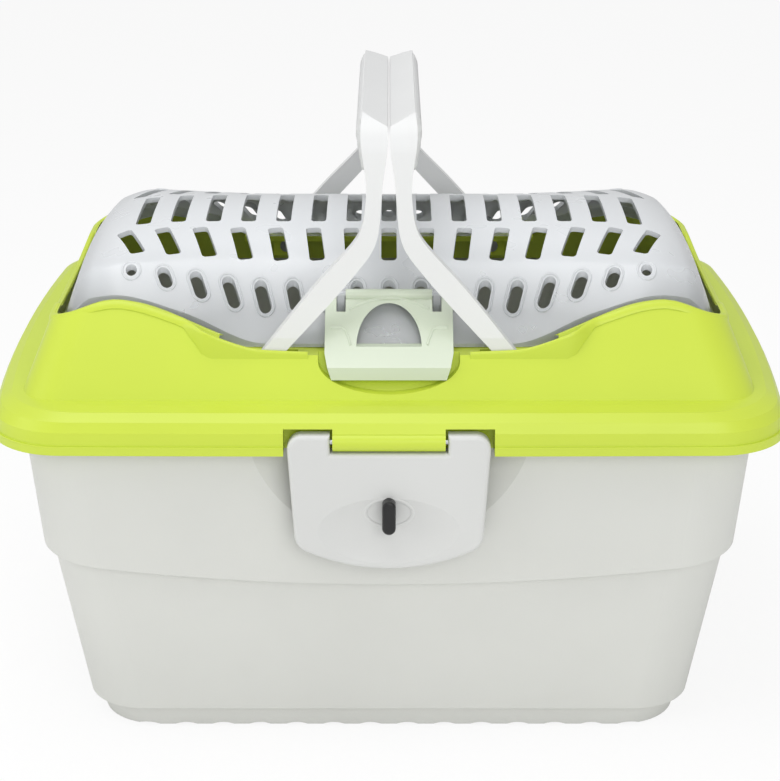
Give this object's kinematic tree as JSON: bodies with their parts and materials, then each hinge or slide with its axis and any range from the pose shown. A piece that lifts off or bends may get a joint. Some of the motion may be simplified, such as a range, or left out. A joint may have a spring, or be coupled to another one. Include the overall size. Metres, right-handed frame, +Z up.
{
  "type": "pet carrier",
  "caption": "Small pet carrier with a grey tub, a hinged lime lid, a slotted translucent roof and two folding handles.",
  "frame": {"origin": "centre of the tub's resting face, on the floor", "axes": "+Z up, +X to the right along the long side, -Y towards the front with the clasp"},
  "size_m": [0.44, 0.3399, 0.345],
  "materials": {
    "tub_grey": "satin",
    "lid_lime": "satin",
    "frosted_clear": "satin",
    "clasp_grey": "satin",
    "handle_white": "satin",
    "knob_black": "satin",
    "pin_steel": "satin"
  },
  "bodies": {
    "tub": {"tub": "tub_grey", "hinge_pin_left": "pin_steel", "hinge_pin_right": "pin_steel"},
    "lid": {"lid": "lid_lime", "door_pin_left": "pin_steel", "door_pin_right": "pin_steel", "pivot_pin_left_front": "pin_steel", "pivot_pin_left_rear": "pin_steel", "pivot_pin_right_front": "pin_steel", "pivot_pin_right_rear": "pin_steel"},
    "roof": {"roof_grille": "frosted_clear", "roof_latch_pin": "pin_steel"},
    "latch": {"roof_latch": "frosted_clear"},
    "clasp": {"clasp": "clasp_grey", "clasp_pin": "pin_steel"},
    "knob": {"turn_knob": "knob_black", "lock_cam": "knob_black", "cam_screw": "pin_steel"},
    "left_handle": {"handle_left": "handle_white"},
    "right_handle": {"handle_right": "handle_white"}
  },
  "joints": [
    {"name": "lid_hinge", "type": "hinge", "parent": "tub", "child": "lid", "pos_m": [0, 0.166, 0.184], "axis": [-1, 0, 0], "range_deg": [0, 100]},
    {"name": "roof_hinge", "type": "hinge", "parent": "lid", "child": "roof", "pos_m": [0, 0.1145, 0.2252], "axis": [-1, 0, 0], "range_deg": [0, 3]},
    {"name": "latch_flip", "type": "hinge", "parent": "roof", "child": "latch", "pos_m": [0, -0.09, 0.2452], "axis": [-1, 0, 0], "range_deg": [0, 20]},
    {"name": "clasp_hinge", "type": "hinge", "parent": "lid", "child": "clasp", "pos_m": [0, -0.1566, 0.186], "axis": [-1, 0, 0], "range_deg": [0, 100]},
    {"name": "knob_turn", "type": "hinge", "parent": "clasp", "child": "knob", "pos_m": [0, -0.16, 0.1465], "axis": [0, 1, 0], "range_deg": [0, 90]},
    {"name": "left_handle_fold", "type": "hinge", "parent": "lid", "child": "left_handle", "pos_m": [-0.066, 0, 0.214], "axis": [0, -1, 0], "range_deg": [0, 78]},
    {"name": "right_handle_fold", "type": "hinge", "parent": "lid", "child": "right_handle", "pos_m": [0.066, 0, 0.214], "axis": [0, 1, 0], "range_deg": [0, 78]}
  ]
}
